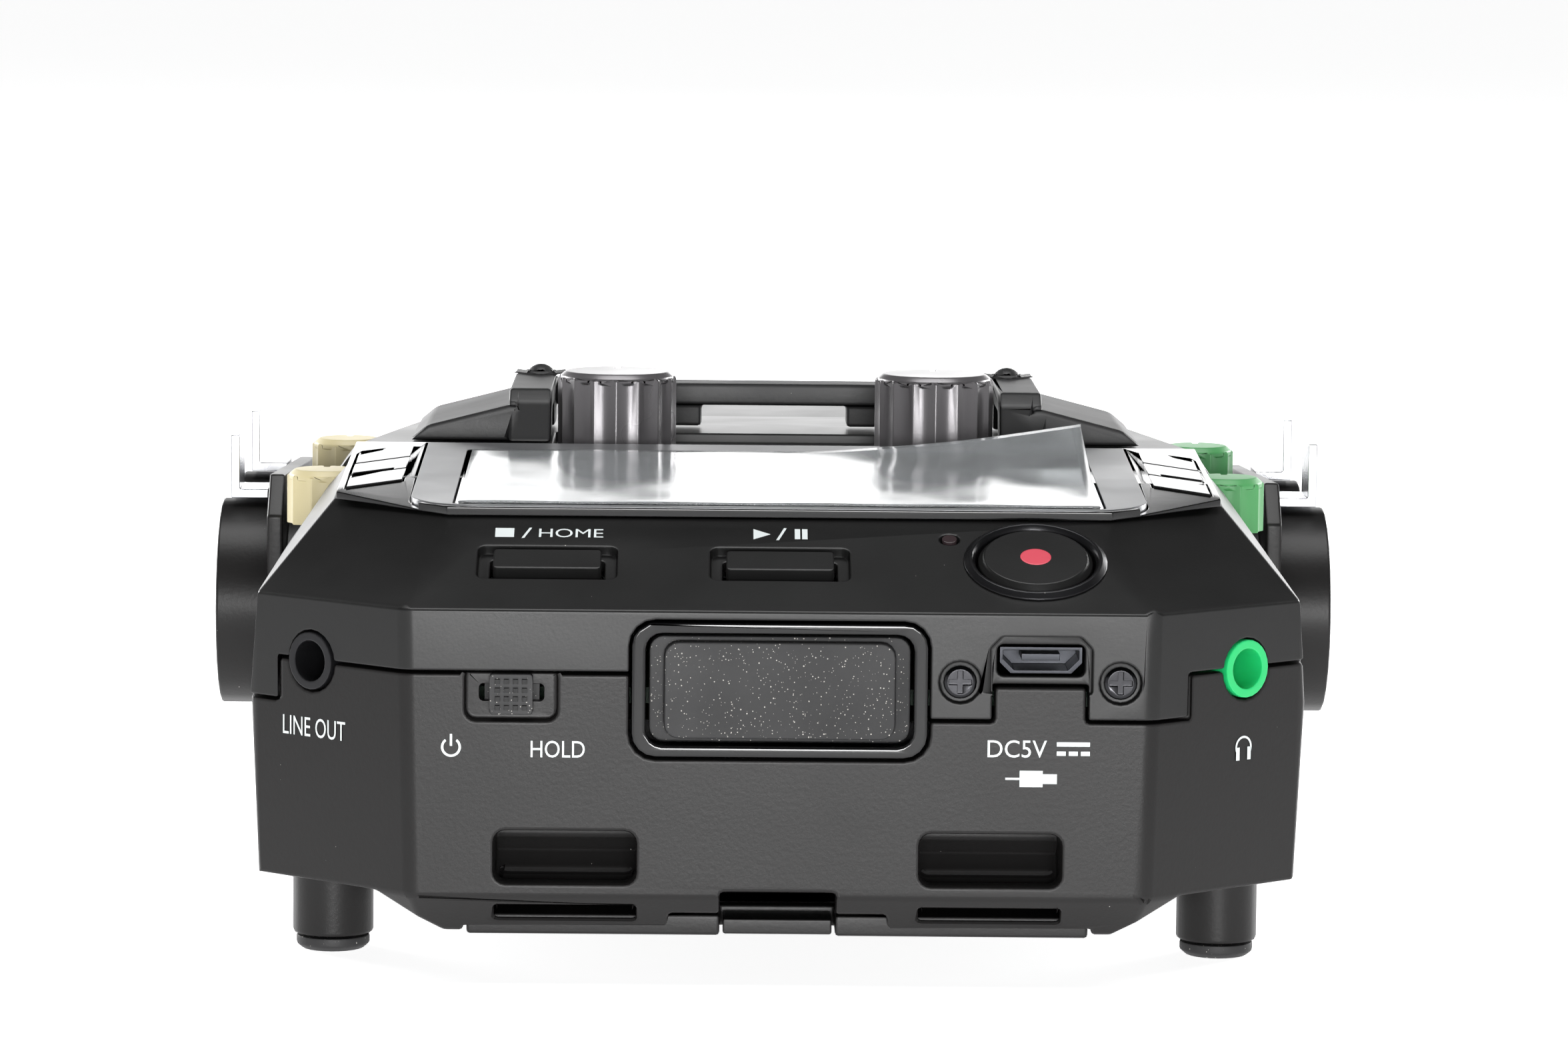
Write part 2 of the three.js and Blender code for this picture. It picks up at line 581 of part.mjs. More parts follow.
function buildJacks() {
  const looks = [['line_out_jack', finish.blackSteel], ['phone_jack', finish.jackGreen]];
  looks.forEach(([name, look], index) => {
    const ring = disc(jackPlace.ring, -3, 0.3, 24).rotateX(Math.PI / 2);
    const housing = block(-3.2, 3.2, 2.7, 12.5, -2.6, 2.6);
    const bore = disc(jackPlace.bore, -11.5, 2, 24).rotateX(Math.PI / 2);
    addPart(name, cut(join(solid(ring), solid(housing)), solid(bore)), look, facets[index]);
  });
}

// Power and boards -------------------------------------------------------------------------------------

function buildPower() {
  const trayFront = cell.front - 1.8;
  const trayRear = cell.front + cell.length + 1.8;
  const tray = cut(
    solid(block(-30.2, 30.2, trayFront, trayRear, plateHeight + wall + fit, 23.4)),
    solid(block(-29, 29, trayFront + 1.4, trayRear - 1.4, 0, 22)),
  );
  addPart('battery_tray', tray, finish.inside);
  [0, 1, 2, 3].forEach((index) => {
    const { radius, length } = cell;
    const can = [[0, 0], [radius, 0], [radius, 48.9], [2.7, 48.9], [2.7, length], [0, length]];
    const mesh = addPart(`battery_${index + 1}`, solid(turned(can)), finish.cellWrap);
    const forward = index % 2 === 0;
    mesh.rotation.x = forward ? -Math.PI / 2 : Math.PI / 2;
    mesh.position.set((index - 1.5) * cell.pitch, cell.front + (forward ? 0 : length), cell.height);
  });
  const plate = solid(block(-door.half, door.half, door.front, door.rear, door.bottom, door.top));
  const notch = solid(block(-latch.half - fit, latch.half + fit, 0, latch.rear + fit, 0, 9));
  const ribs = [0, 1, 2, 3].map((index) => solid(block(-9, 9, 13 + index * 2.4, 14 + index * 2.4, 4, 4.8)));
  addPart('battery_door', cut(plate, notch, ...ribs), finish.casing);
  const tab = solid(block(-latch.half, latch.half, latch.front, latch.rear, latch.bottom, latch.top));
  const nailGroove = solid(block(-3.5, 3.5, latch.front + 1, latch.front + 2, 4, 4.9));
  addPart('door_latch', cut(tab, nailGroove), finish.casing);
}

function buildBoards() {
  const chips = [
    [-22, 30, 14, 14], [6, 34, 11, 9], [24, 52, 12, 12], [-8, 70, 18, 8], [-26, 92, 10, 10], [20, 96, 14, 9],
  ];
  const parts = chips.map(([x, y, w, d]) => (
    solid(block(x - w / 2, x + w / 2, y - d / 2, y + d / 2, 25.5, 27.4))
  ));
  addPart('main_board', join(solid(block(-43.8, 43.8, 14, 114, 24.4, 25.9)), ...parts), finish.board);
  const bar = solid(block(-24, 24, 58, 72, 31, 32.4));
  const pots = [-1, 1].flatMap((side) => [
    solid(block(side * inputKnobs.x - 5, side * inputKnobs.x + 5, 59, 69, 32, 40.2)),
    solid(disc(2.9, 39, 48.5, 16).translate(side * inputKnobs.x, inputKnobs.y, 0)),
  ]);
  addPart('pot_board', join(bar, ...pots), finish.inside);
  const { bore, radius } = tripod;
  const nut = turned([[bore, 5], [radius, 5], [radius, 10.8], [bore, 10.8], [bore, 5]], 24);
  addPart('tripod_nut', solid(nut.translate(0, tripod.y, 0)), finish.brass);
}

function buildFeet() {
  footPlaces().forEach(({ x, y }, index) => {
    const { rubberRadius, bossFoot } = feet;
    const low = bossFoot - 0.2;
    const section = [
      [0, 0], [rubberRadius - 0.6, 0], [rubberRadius, 0.5], [rubberRadius, low],
      [1.9, low], [1.9, 4.6], [0, 4.6],
    ];
    addPart(`foot_${index + 1}`, solid(turned(section, 24).translate(x, y, 0)), finish.rubber);
  });
}

// Knob deck --------------------------------------------------------------------------------------------

// A knob outline with round flutes down its side.
function flutedOutline(radius, flutes, depth) {
  const steps = flutes * 3;
  const points = Array.from({ length: steps }, (unused, step) => {
    const angle = (2 * Math.PI * step) / steps;
    const reach = radius - (depth * (1 - Math.cos(flutes * angle))) / 2;
    return [reach * Math.cos(angle), reach * Math.sin(angle)];
  });
  return outline(points);
}

function flutedKnob({ radius, bottom, top, flutes, bore }) {
  const grip = solid(alongZ(flutedOutline(radius, flutes, 0.5), bottom, top - 0.6));
  const rim = radius - 0.2;
  const crownSection = [[0, top - 1], [rim, top - 1], [rim, top - 0.5], [rim - 0.6, top], [0, top]];
  const crown = solid(turned(crownSection, 24));
  const socket = solid(disc(bore, bottom - 1, top - 2, 12));
  const pointer = solid(block(-0.3, 0.3, radius * 0.45, radius + 1, top - 0.25, top + 1));
  return cut(join(grip, crown), socket, pointer);
}

function buildKnobs() {
  [-1, 1].forEach((side, index) => {
    const { x, y } = inputKnobs;
    const body = flutedKnob({ ...inputKnobs, flutes: 16, bore: 3.2 });
    const knob = addPart(`input_knob_${index + 1}`, body, finish.gloss);
    knob.position.set(side * x, y, 0);
    sideKnobs.rows.forEach((row, rowIndex) => {
      const grip = flutedKnob({ ...sideKnobs, flutes: 10, bore: 1.4 });
      const shaft = solid(disc(1.45, 31, sideKnobs.top - 1.5, 12));
      const letter = ['a', 'b', 'c', 'd'][index * 2 + rowIndex];
      const look = side < 0 ? finish.cream : finish.green;
      const mesh = addPart(`track_knob_${letter}`, join(grip, shaft), look);
      mesh.position.set(side * row.x, row.y, 0);
    });
  });
}

function buildGuard() {
  const { inner, outer, front, rear, top } = guard;
  const bar = crossBar.front;
  const base = ridgeHeight + fit;
  const sides = [-1, 1].flatMap((side) => {
    const rail = outline([
      [front, base], [front + 1.6, top - 1.2], [front + 3.4, top],
      [rear - 1, top], [rear, top - 1], [rear, base],
    ]);
    const gap = outline([
      [front + 5, base - 1], [front + 6, top - 2.4], [bar - 2, top - 2.4], [bar - 1, base - 1],
    ]);
    const lift = Math.min(side * inner, side * outer);
    const slope = [[10, 0], [8.2, 1.5], [0, 3.6], [-1, 3.6], [-1, 0]];
    const ramp = outline(slope.map(([x, z]) => [side * (outer + x), base + z]));
    const ball = new THREE.SphereGeometry(1.7, 12, 8).translate(side * 24.2, rear - 2, top - 0.6);
    const foot = block(side * 9.15 - 1.65, side * 9.15 + 1.65, bar + 0.4, rear, base, crossBar.low + 1);
    return [
      cut(solid(alongX(rail, lift, lift + outer - inner)), solid(alongX(gap, lift - 1, lift + 6))),
      solid(alongY(ramp, front + 1.2, rear)), solid(ball), solid(foot),
    ];
  });
  const cross = solid(block(-outer, outer, bar, rear, crossBar.low, crossBar.high));
  addPart('guard_bar', join(cross, ...sides), finish.panel);
}

// Microphone inputs ------------------------------------------------------------------------------------

// Pieces of the right side, with X outwards; the left side is the same piece turned half round.
function buildInputs() {
  const { rows, radius, bore, plate, face, height } = xlr;
  const middle = (rows[0] + rows[1]) / 2;
  const reach = middle - rows[0] + radius + 1.8;
  const pipe = (size, x0, x1) => [-1, 1].map((row) => (
    solid(disc(size, x0, x1, 24).rotateY(Math.PI / 2).translate(0, row * (middle - rows[0]), 0))
  ));
  [-1, 1].forEach((side, sideIndex) => {
    const turn = side < 0 ? Math.PI : 0;
    const holder = frameAt(0, middle, height, 0, turn);
    const panelShape = outline([
      [-reach, -9], [-reach + 4, -13], [reach - 4, -13], [reach, -9], [reach, 8.6], [reach - 4, 11.3],
      [-reach + 4, 13.8], [-reach, 10],
    ].map(([y, z]) => [side * y, z]));
    const flange = solid(alongX(panelShape, 49.3, plate));
    const collars = [...pipe(radius, 50, face), ...pipe(9.35, 45.6, 50)];
    const frame = cut(join(flange, ...collars), ...pipe(bore, 44, 60));
    addPart(`xlr_frame_${side < 0 ? 'left' : 'right'}`, frame, finish.casing, holder);
    [-1, 1].forEach((row, rowIndex) => {
      const letter = ['a', 'b', 'c', 'd'][sideIndex * 2 + rowIndex];
      const y = side * row * (middle - rows[0]);
      buildInput(letter, y, holder);
    });
  });
}

function buildInput(letter, y, holder) {
  const core = solid(disc(7.3, 44.6, 54.4).rotateY(Math.PI / 2).translate(0, y, 0));
  const pins = [90, 210, 330].map((degrees) => {
    const angle = THREE.MathUtils.degToRad(degrees);
    const hole = disc(1.25, 50, 60, 10).rotateY(Math.PI / 2);
    return solid(hole.translate(0, y + 4 * Math.cos(angle), 4 * Math.sin(angle)));
  });
  addPart(`xlr_insert_${letter}`, cut(core, ...pins), finish.inside, holder);
  const heel = xlr.radius + 0.35;
  const foot = solid(block(51.4, 55.2, y - 3.4, y + 3.4, heel, heel + 0.9));
  const tab = solid(block(54.3, 55.2, y - 3.4, y + 3.4, heel, heel + 6.4));
  addPart(`xlr_latch_${letter}`, join(foot, tab), finish.steel, holder);
}

// Card flap and microphone socket ----------------------------------------------------------------------

function buildCovers() {
  const flap = bodyHull(0).intersect(solid(block(
    -52, -47.75, card.front + fit, card.rear - fit, card.low + fit, card.high - fit,
  )));
  addPart('card_door', flap, finish.casing);
  const { width, height, z, depth } = capsule;
  const front = bodyLength - depth;
  const cup = cut(
    solid(alongY(roundedRect(width - 0.6, height - 0.6, 2.7, 0, z), front + fit, bodyLength - 0.1)),
    solid(alongY(roundedRect(width - 3.6, height - 3.6, 1.8, 0, z), front + 3, bodyLength + 1)),
  );
  const plug = solid(block(-9, 9, front + 1, front + 7, z - 3, z + 3));
  addPart('capsule_socket', join(cup, plug), finish.inside);
  const lidOutline = roundedRect(width - 4.4, height - 4.4, 1.5, 0, z);
  const hollowOutline = roundedRect(width - 7.4, height - 7.4, 1, 0, z);
  const lid = solid(alongY(lidOutline, bodyLength - 5, bodyLength - 0.3));
  const hollow = solid(alongY(hollowOutline, bodyLength - 6, bodyLength - 1.8));
  const pull = solid(block(-6, 6, bodyLength - 1, bodyLength + 0.35, z - 0.9, z + 0.9));
  addPart('capsule_cover', join(cut(lid, hollow), pull), finish.rubber);
}

buildCasings();
buildScreen();
buildPanelKeys();
buildHoldSwitch();
buildRemotePort();
buildChargingPort();
buildJacks();
buildPower();
buildBoards();
buildFeet();
buildKnobs();
buildGuard();
buildInputs();
buildCovers();
recorder.position.y = -bodyLength / 2;

export default recorder;
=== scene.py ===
"""The finished look of a handheld multitrack audio recorder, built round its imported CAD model.

Lengths in the settings are millimetres; everything in the scene is metres.
"""

import json
import math

import bpy
from mathutils import Matrix, Vector

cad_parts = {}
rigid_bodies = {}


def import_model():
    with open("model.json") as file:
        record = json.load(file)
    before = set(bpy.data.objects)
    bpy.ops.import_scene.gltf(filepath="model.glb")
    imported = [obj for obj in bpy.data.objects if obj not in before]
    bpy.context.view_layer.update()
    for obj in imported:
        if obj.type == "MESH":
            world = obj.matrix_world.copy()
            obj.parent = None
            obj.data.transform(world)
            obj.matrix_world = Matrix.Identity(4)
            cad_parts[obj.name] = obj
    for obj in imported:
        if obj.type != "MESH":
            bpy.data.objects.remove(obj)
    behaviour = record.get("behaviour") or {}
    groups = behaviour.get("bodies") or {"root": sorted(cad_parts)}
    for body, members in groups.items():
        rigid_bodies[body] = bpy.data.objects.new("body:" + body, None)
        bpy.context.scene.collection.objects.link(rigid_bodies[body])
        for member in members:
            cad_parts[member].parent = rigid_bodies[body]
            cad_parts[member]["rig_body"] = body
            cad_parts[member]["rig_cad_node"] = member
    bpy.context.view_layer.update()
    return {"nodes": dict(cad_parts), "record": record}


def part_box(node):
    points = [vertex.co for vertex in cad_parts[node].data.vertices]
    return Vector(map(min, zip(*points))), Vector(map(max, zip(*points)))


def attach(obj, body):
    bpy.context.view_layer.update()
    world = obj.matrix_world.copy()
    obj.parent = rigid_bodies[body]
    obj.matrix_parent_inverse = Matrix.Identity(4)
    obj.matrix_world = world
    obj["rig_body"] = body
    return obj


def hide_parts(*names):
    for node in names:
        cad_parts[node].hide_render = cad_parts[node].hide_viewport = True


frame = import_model()

MM = 0.001
NODES = frame["nodes"]
BODIES = frame["record"]["behaviour"]["bodies"]
BODY_OF = {member: body for body, members in BODIES.items() for member in members}
SLOT_OF = {part["node"]: part["material_slot"] for part in frame["record"]["subparts"]}

# Nodes whose finish differs from the rest of their material slot.
LOOK_OF = {
    "usb_receptacle": "tin", "port_screw_1": "screw", "port_screw_2": "screw",
    "input_knob_1": "knob", "input_knob_2": "knob", "guard_bar": "guard",
}

# The planes that printing and details sit on, as the CAD model has them.
FRONT_FACE = -0.0815
BROW_HEIGHT = 0.0348
PANEL_TILT = math.radians(24.8)
DECK_FRONT = FRONT_FACE + 0.0147
DECK_HEIGHT = 0.0415922
DECK_TILT = math.radians(3)
FACET_TURN = math.radians(40)
JACK_X = 0.043
JACK_FROM_CORNER = 0.0091
CORNER_X = JACK_X - JACK_FROM_CORNER
FACET_Y = FRONT_FACE + JACK_FROM_CORNER * math.tan(FACET_TURN)
HOLD_X, HOLD_Z = -0.0244, 0.0271
SHELL_CORNER = 0.9

# Dust as (spacing in mm, largest radius as a share of the spacing, how rare the large specks are).
LIGHT_DUST = (0.9, 0.11, 9)
RUBBER_DUST = (0.27, 0.32, 3.2)

# How strongly the table glows near the object and out to the sides and front.
GLOW_NEAR, GLOW_FAR = 0.86, 0.30


# Camera ---------------------------------------------------------------------------------------------

def add_camera():
    right = Vector((0.9999, -0.0108, 0.0100))
    up = Vector((-0.0088, 0.1087, 0.9940))
    back = -Vector((0.01185, 0.9940, -0.1086))
    data = bpy.data.cameras.new("camera")
    data.sensor_width = 36
    data.lens = 9000 / 2352 * 36
    data.clip_start, data.clip_end = 0.05, 20
    camera = bpy.data.objects.new("camera", data)
    bpy.context.scene.collection.objects.link(camera)
    turn = Matrix((right, up, back)).transposed().to_4x4()
    camera.matrix_world = Matrix.Translation((-0.0062, -0.6216, 0.1020)) @ turn
    bpy.context.scene.camera = camera


# Materials ------------------------------------------------------------------------------------------

def linear(hex_code):
    """An sRGB hex colour as linear RGBA."""
    channels = [int(hex_code[i:i + 2], 16) / 255 for i in (1, 3, 5)]
    return [c / 12.92 if c <= 0.04045 else ((c + 0.055) / 1.055) ** 2.4 for c in channels] + [1.0]


def node(material, kind, inputs=None, **settings):
    """Adds a shader node, sets its properties, and sets or links its inputs."""
    made = material.node_tree.nodes.new("ShaderNode" + kind)
    for name, value in settings.items():
        setattr(made, name, value)
    for name, value in (inputs or {}).items():
        if isinstance(value, bpy.types.NodeSocket):
            material.node_tree.links.new(value, made.inputs[name])
        else:
            made.inputs[name].default_value = value
    return made


def mixed(material, share, first, second):
    """A colour between two; a Mix node's colour sockets are its seventh and eighth."""
    return node(material, "Mix", {0: share, 6: first, 7: second}, data_type="RGBA").outputs[2]


def plastic(name, colour, roughness, grain=0.3, relief=0.02, uneven=0.05, dust=None, **shader):
    """A surface with fine relief of one grain size, slightly uneven gloss, and dust lying on it.

    grain is the spacing of the relief and relief its height, both in millimetres.
    """
    made = bpy.data.materials.new(name)
    made.use_nodes = True
    made.node_tree.nodes.clear()
    place = node(made, "TexCoord").outputs["Object"]
    fine = node(made, "TexNoise", {"Vector": place, "Scale": 1000 / grain, "Detail": 2.0, "Roughness": 0.6})
    broad = node(made, "TexNoise", {"Vector": place, "Scale": 1000 / 14, "Detail": 3.0, "Roughness": 0.55})
    bump = node(made, "Bump", {"Height": fine.outputs["Fac"], "Distance": relief * MM, "Strength": 1.0})
    gloss = node(made, "MapRange", {
        "Value": broad.outputs["Fac"], "From Min": 0.3, "From Max": 0.7,
        "To Min": max(roughness - uneven, 0.02), "To Max": min(roughness + uneven, 1.0),
    })
    base = linear(colour)
    darker = [c * 0.88 for c in base[:3]] + [1]
    paler = [min(c * 1.12, 1) for c in base[:3]] + [1]
    colour_out = mixed(made, broad.outputs["Fac"], darker, paler)
    gloss_out = gloss.outputs["Result"]
    if dust:
        colour_out, gloss_out = with_dust(made, place, colour_out, gloss_out, dust)
    surface = node(made, "BsdfPrincipled", {
        "Base Color": colour_out, "Roughness": gloss_out, "Normal": bump.outputs["Normal"], **shader,
    })
    out = node(made, "OutputMaterial")
    made.node_tree.links.new(surface.outputs["BSDF"], out.inputs["Surface"])
    return made


def with_dust(made, place, colour_out, gloss_out, amount):
    """Pale specks of dust, one in each cell, whose own colour decides how large its speck is."""
    spacing, largest, rarity = amount
    cells = node(made, "TexVoronoi", {"Vector": place, "Scale": 1000 / spacing, "Randomness": 1.0})
    rare = node(made, "Math", {0: cells.outputs["Color"], 1: rarity}, operation="POWER")
    size = node(made, "Math", {0: rare.outputs[0], 1: largest}, operation="MULTIPLY")
    speck = node(made, "Math", {0: cells.outputs["Distance"], 1: size.outputs[0]}, operation="LESS_THAN")
    pale = mixed(made, speck.outputs[0], colour_out, linear("#b9b6b0"))
    dull = node(made, "MapRange", {"Value": speck.outputs[0], "To Max": 0.5})
    matt = node(made, "Math", {0: gloss_out, 1: dull.outputs["Result"]}, operation="ADD", use_clamp=True)
    return pale, matt.outputs[0]


def make_materials():
    return {
        # Spark-eroded ABS: the pebbled skin scatters the light into a soft sheen.
        "casing": plastic("eroded_abs", "#1b1a1a", 0.37, grain=0.42, relief=0.012, uneven=0.03,
                          dust=LIGHT_DUST, **{"Specular IOR Level": 0.26}),
        # Satin-moulded ABS with a fine skin that stays nearly black away from the light.
        "panel": plastic("satin_abs", "#1a1a1a", 0.36, grain=0.35, relief=0.006, uneven=0.03,
                         dust=LIGHT_DUST, **{"Specular IOR Level": 0.33}),
        # Piano-black ABS straight from a polished mould.
        "gloss": plastic("polished_abs", "#0d0d0e", 0.12, grain=0.8, relief=0.001, uneven=0.02,
                         dust=LIGHT_DUST),
        # ABS sprayed with a fine metallic lacquer.
        "silver": plastic("metallic_lacquer", "#77787a", 0.34, grain=0.25, relief=0.006, uneven=0.04,
                          Metallic=0.55),
        # Hard-coated acrylic window.
        "glass": plastic("hard_coated_acrylic", "#0a0b0c", 0.05, grain=3, relief=0.001, uneven=0.02),
        # Moulded silicone rubber, dusty because it holds what falls on it.
        "rubber": plastic("silicone_rubber", "#242425", 0.62, grain=0.3, relief=0.02, uneven=0.08,
                          dust=RUBBER_DUST),
        # Nickel-plated spring steel.
        "steel": plastic("nickel_plate", "#b9babd", 0.24, grain=0.2, relief=0.003, uneven=0.06, Metallic=1.0),
        # Steel with a black zinc finish, worn a little glossy.
        "black_steel": plastic("black_zinc", "#242426", 0.30, grain=0.3, relief=0.004, uneven=0.06,
                               dust=LIGHT_DUST, Metallic=0.6),
        # Acetal in the two colours that tell the track knobs apart.
        "cream": plastic("cream_acetal", "#d3c79c", 0.42, grain=0.4, relief=0.006, uneven=0.05),
        "green": plastic("green_acetal", "#4f9a5c", 0.42, grain=0.4, relief=0.006, uneven=0.05),
        # Bright green PBT of a jack's collar, slightly waxy.
        "jack_green": plastic("green_pbt", "#1fc46f", 0.42, grain=0.4, relief=0.006, uneven=0.04,
                              **{"Subsurface Weight": 0.1, "Subsurface Scale": 0.002}),
        # Clear smoked polycarbonate of an unlit lamp.
        "lamp": plastic("smoked_polycarbonate", "#3a3032", 0.12, grain=0.6, relief=0.002, uneven=0.03),
        # Solder mask over copper.
        "board": plastic("solder_mask", "#1a5232", 0.35, grain=0.5, relief=0.01),
        # Unfinished ABS inside the casing.
        "inside": plastic("plain_abs", "#2b2c2e", 0.50, grain=0.5, relief=0.012, dust=LIGHT_DUST),
        # Turned brass.
        "brass": plastic("turned_brass", "#b08b45", 0.30, grain=0.2, relief=0.004, Metallic=1.0),
        # Printed shrink sleeve round a dry cell, without its print.
        "cell_wrap": plastic("cell_sleeve", "#3f4650", 0.30, grain=0.6, relief=0.004, Metallic=0.3),
        # Clear polyester film, slightly hazy.
        "film": plastic("polyester_film", "#e4e8ea", 0.14, grain=6, relief=0.01, uneven=0.05,
                        **{"Transmission Weight": 0.82, "IOR": 1.4}),
        # Tin-plated steel, its colour darkened nearly to black as painted shade for the inside of the port.
        "tin": plastic("shade_darkened_tin", "#303134", 0.30, grain=0.2, relief=0.003, uneven=0.08, Metallic=1.0),
        # Case-hardened steel screws with a black oxide finish, still oily.
        "screw": plastic("black_oxide", "#333335", 0.22, grain=0.2, relief=0.003, uneven=0.05, Metallic=1.0),
        # Knob moulding sprayed with a dark pearl lacquer, so that each flute shows a light and a dark side.
        "knob": plastic("pearl_lacquer", "#696769", 0.30, grain=0.3, relief=0.004, uneven=0.04, Metallic=0.5),
        # Powder-coated die casting of the guard.
        "guard": plastic("powder_coat", "#161617", 0.48, grain=0.5, relief=0.012, uneven=0.04,
                         dust=LIGHT_DUST),
        # Pad-printed white ink.
        "ink": plastic("white_ink", "#dfe6e6", 0.55, grain=0.3, relief=0.004),
        # Pad-printed red ink.
        "red_ink": plastic("red_ink", "#d8485a", 0.45, grain=0.3, relief=0.004),
    }


# Making pieces --------------------------------------------------------------------------------------

def select(*objects):
    bpy.ops.object.select_all(action="DESELECT")
    for piece in objects:
        piece.select_set(True)
    bpy.context.view_layer.objects.active = objects[0]


def finish_piece(piece, name, body, look):
    """Names a piece, gives it its material, and fixes it to a body of the frame."""
    piece.name = name
    piece.data.name = name
    piece.data.materials.clear()
    piece.data.materials.append(materials[look])
    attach(piece, body)
    return piece


def round_corners(piece, offset):
    """Rounds the upright corners where the front face meets the two slanted ones."""
    mesh = piece.data
    for edge in mesh.edges:
        ends = [mesh.vertices[index].co for index in edge.vertices]
        edge.select = all(
            abs(abs(end.x) - CORNER_X) < 0.0004 and abs(end.y - FRONT_FACE) < 0.0004 for end in ends
        ) and abs(ends[0].z - ends[1].z) > 0.0002
    bpy.ops.object.mode_set(mode="EDIT")
    bpy.ops.mesh.select_mode(type="EDGE")
    bpy.ops.mesh.bevel(offset=offset * MM, segments=4, affect="EDGES", clamp_overlap=False)
    bpy.ops.object.mode_set(mode="OBJECT")


def weigh_edges(piece, sharper_than):
    """Marks the sharp edges for rounding, the ones round small openings less than the others."""
    select(piece)
    bpy.ops.object.mode_set(mode="EDIT")
    bpy.ops.mesh.select_mode(type="EDGE")
    bpy.ops.mesh.select_all(action="DESELECT")
    bpy.ops.mesh.edges_select_sharp(sharpness=math.radians(sharper_than))
    bpy.ops.object.mode_set(mode="OBJECT")
    mesh = piece.data
    weights = mesh.attributes.new("bevel_weight_edge", "FLOAT", "EDGE")
    for edge in mesh.edges:
        if edge.select:
            middle = (mesh.vertices[edge.vertices[0]].co + mesh.vertices[edge.vertices[1]].co) / 2
            weights.data[edge.index].value = rounding_share(middle)


def rounding_share(place):
    """How much of a shell's rounding an edge gets at this place."""
    in_hold_slot = abs(place.x - HOLD_X) < 0.0033 and abs(place.z - HOLD_Z) < 0.0011
    if in_hold_slot and place.y < FRONT_FACE + 0.004:
        return 0.2
    return 1.0


def moulded(source, edge=0.25, segments=2, sharper_than=25, smooth=35):
    """A copy of a CAD node with its triangles joined into whole faces and its edges rounded.

    edge is the rounding in millimetres; sharper_than and smooth are angles in degrees.
    """
    piece = NODES[source].copy()
    piece.data = NODES[source].data.copy()
    piece.parent = None
    bpy.context.scene.collection.objects.link(piece)
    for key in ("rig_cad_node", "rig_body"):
        del piece[key]
    select(piece)
    bpy.ops.object.mode_set(mode="EDIT")
    bpy.ops.mesh.select_all(action="SELECT")
    bpy.ops.mesh.remove_doubles(threshold=2e-6)
    bpy.ops.mesh.dissolve_limited(angle_limit=math.radians(0.6))
    bpy.ops.mesh.delete_loose()
    bpy.ops.mesh.select_all(action="DESELECT")
    bpy.ops.object.mode_set(mode="OBJECT")
    if source in ("upper_shell", "lower_shell"):
        round_corners(piece, SHELL_CORNER)
    if piece.data.has_custom_normals:
        bpy.ops.mesh.customdata_custom_splitnormals_clear()
    if edge:
        weigh_edges(piece, sharper_than)
        bevel = piece.modifiers.new("rounding", "BEVEL")
        bevel.width = edge * MM
        bevel.segments = segments
        bevel.limit_method = "WEIGHT"
        bevel.use_clamp_overlap = False
        bevel.miter_outer = "MITER_ARC"
        bpy.ops.object.modifier_apply(modifier=bevel.name)
    bpy.ops.object.shade_smooth_by_angle(angle=math.radians(smooth))
    flat = piece.modifiers.new("flat_faces", "WEIGHTED_NORMAL")
    flat.weight = 100
    flat.keep_sharp = True
    bpy.ops.object.modifier_apply(modifier=flat.name)
    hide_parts(source)
    look = LOOK_OF.get(source, SLOT_OF[source])
    return finish_piece(piece, source + "_moulding", BODY_OF[source], look)


# Where printing goes: each face's own frame, with X to the reader's right and Y up the face.

def face_frame(x, y, z, tilt, turn=0.0):
    return Matrix.Translation((x, y, z)) @ Matrix.Rotation(turn, 4, "Z") @ Matrix.Rotation(tilt, 4, "X")


PANEL = face_frame(0, FRONT_FACE, BROW_HEIGHT, PANEL_TILT)
FRONT = face_frame(0, FRONT_FACE, 0, math.radians(90))
LEFT_FACET = face_frame(-JACK_X, FACET_Y, 0, math.radians(90), -FACET_TURN)
RIGHT_FACET = face_frame(JACK_X, FACET_Y, 0, math.radians(90), FACET_TURN)
DECK = face_frame(0, DECK_FRONT, DECK_HEIGHT, DECK_TILT)
# How far printing stands proud in millimetres. The facets lean a little, so theirs stands further out.
INK = 0.012
FACET_INK = 0.07


def lay_on(piece, face, lift=INK):
    """Sets a piece drawn in a face's own frame down on that face, standing a little proud."""
    select(piece)
    bpy.ops.object.transform_apply(location=True, rotation=True, scale=True)
    piece.matrix_world = face @ Matrix.Translation((0, 0, lift * MM))
    bpy.ops.object.transform_apply(location=True, rotation=True, scale=True)


def lettering(text, x0, x1, y0, y1):
    """Plain capitals that fill a rectangle of a face, in millimetres."""
    bpy.ops.object.text_add()
    letters = bpy.context.object
    letters.data.body = text
    letters.data.resolution_u = 4
    select(letters)
    bpy.ops.object.convert(target="MESH")
    letters = bpy.context.object
    low = Vector([min(v.co[i] for v in letters.data.vertices) for i in range(3)])
    high = Vector([max(v.co[i] for v in letters.data.vertices) for i in range(3)])
    wide, tall = (x1 - x0) * MM / (high.x - low.x), (y1 - y0) * MM / (high.y - low.y)
    stretch = Matrix.Diagonal((wide, tall, 1, 1)) @ Matrix.Translation(-low)
    letters.matrix_world = Matrix.Translation((x0 * MM, y0 * MM, 0)) @ stretch
    bpy.ops.object.transform_apply(location=True, rotation=True, scale=True)
    return letters


def bar(x0, x1, y0, y1):
    """A filled rectangle of a face."""
    bpy.ops.mesh.primitive_plane_add(size=1, location=((x0 + x1) / 2 * MM, (y0 + y1) / 2 * MM, 0))
    made = bpy.context.object
    made.scale = ((x1 - x0) * MM, (y1 - y0) * MM, 1)
    bpy.ops.object.transform_apply(location=True, rotation=True, scale=True)
    return made


def joined(*pieces):
    select(*pieces)
    bpy.ops.object.join()
    return bpy.context.object


